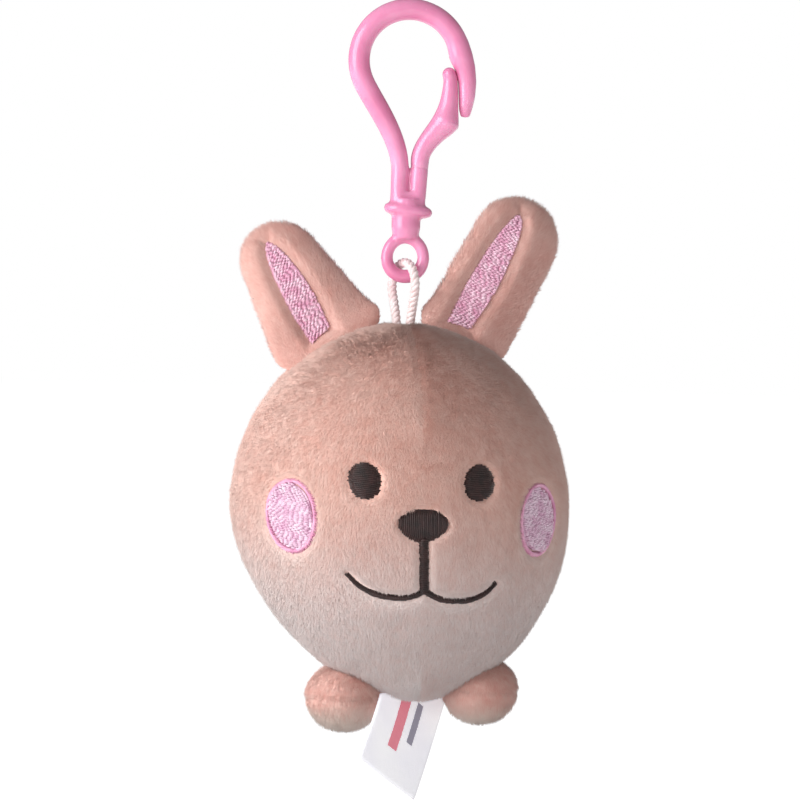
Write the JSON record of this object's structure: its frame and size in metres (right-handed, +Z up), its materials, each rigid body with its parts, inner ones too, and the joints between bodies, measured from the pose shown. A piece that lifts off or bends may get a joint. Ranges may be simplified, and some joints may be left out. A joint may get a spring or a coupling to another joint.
{
  "type": "plush keychain",
  "caption": "Stuffed round animal head with ears and feet, hung by a cord loop from a plastic snap clip that closes on a bag ring or zip pull.",
  "frame": {"origin": "inside top of the clip's hook, at mid depth, where a bag's ring bears on it", "axes": "+Z up, against gravity as it hangs; the face looks towards -Y; +X is to the right of someone looking at the face"},
  "size_m": [0.0629, 0.0605, 0.1488],
  "materials": {
    "clip_plastic": "gloss, slightly translucent pink polypropylene",
    "cord": "braided white nylon",
    "plush": "short peach-pink pile",
    "filling": "loose white polyester fibre",
    "pink_thread": "shiny pink embroidery thread",
    "dark_thread": "dark brown embroidery thread",
    "label": "white satin tape"
  },
  "bodies": {
    "clip": {"clip_hook": "clip_plastic"},
    "gate": {"clip_gate": "clip_plastic"},
    "cord": {"cord_loop": "cord"},
    "knot": {"cord_knot": "cord"},
    "plush": {"face_panel": "plush", "back_panel_left": "plush", "back_panel_right": "plush", "body_filling": "filling", "closing_stitch": "plush", "eye_left": "dark_thread", "eye_right": "dark_thread", "nose": "dark_thread", "mouth": "dark_thread", "cheek_left": "pink_thread", "cheek_right": "pink_thread", "cheek_outline_left": "pink_thread", "cheek_outline_right": "pink_thread"},
    "ear_left": {"ear_front_left": "plush", "ear_back_left": "plush", "ear_filling_left": "filling", "ear_embroidery_left": "pink_thread"},
    "ear_right": {"ear_front_right": "plush", "ear_back_right": "plush", "ear_filling_right": "filling", "ear_embroidery_right": "pink_thread"},
    "foot_left": {"foot_upper_left": "plush", "foot_lower_left": "plush", "foot_filling_left": "filling"},
    "foot_right": {"foot_upper_right": "plush", "foot_lower_right": "plush", "foot_filling_right": "filling"},
    "tag": {"label": "label"}
  },
  "joints": [
    {"name": "gate_flex", "type": "hinge", "parent": "clip", "child": "gate", "pos_m": [0.0024, 0, -0.0255], "axis": [0, -1, 0], "range_deg": [0, 11], "stiffness_Nm_per_rad": 0.004},
    {"name": "side_swing", "type": "hinge", "parent": "clip", "child": "cord", "pos_m": [0, 0, -0.0441], "axis": [0, 1, 0], "range_deg": [-30, 30]},
    {"name": "nod", "type": "hinge", "parent": "cord", "child": "knot", "pos_m": [0, 0, -0.0543], "axis": [1, 0, 0], "range_deg": [-65, 65], "deforming": ["cord_loop"]},
    {"name": "twist", "type": "hinge", "parent": "knot", "child": "plush", "pos_m": [0, 0, -0.056], "axis": [0, 0, 1], "range_deg": [-45, 45], "stiffness_Nm_per_rad": 0.00004},
    {"name": "ear_left_fold", "type": "hinge", "parent": "plush", "child": "ear_left", "pos_m": [-0.0144, 0, -0.0583], "axis": [0.8673, 0.1005, 0.4875], "range_deg": [-25, 40], "stiffness_Nm_per_rad": 0.004},
    {"name": "ear_right_fold", "type": "hinge", "parent": "plush", "child": "ear_right", "pos_m": [0.0122, 0, -0.0569], "axis": [0.8796, 0.1044, -0.4641], "range_deg": [-35, 35], "stiffness_Nm_per_rad": 0.004},
    {"name": "foot_left_flex", "type": "hinge", "parent": "plush", "child": "foot_left", "pos_m": [-0.0085, -0.002, -0.122], "axis": [1, 0, 0], "range_deg": [-12, 12], "stiffness_Nm_per_rad": 0.0005},
    {"name": "foot_right_flex", "type": "hinge", "parent": "plush", "child": "foot_right", "pos_m": [0.0142, -0.002, -0.1215], "axis": [1, 0, 0], "range_deg": [-12, 12], "stiffness_Nm_per_rad": 0.0005},
    {"name": "label_flap", "type": "hinge", "parent": "plush", "child": "tag", "pos_m": [0.0045, 0.0046, -0.1266], "axis": [1, 0, 0], "range_deg": [-8, 60], "stiffness_Nm_per_rad": 0.00005}
  ]
}
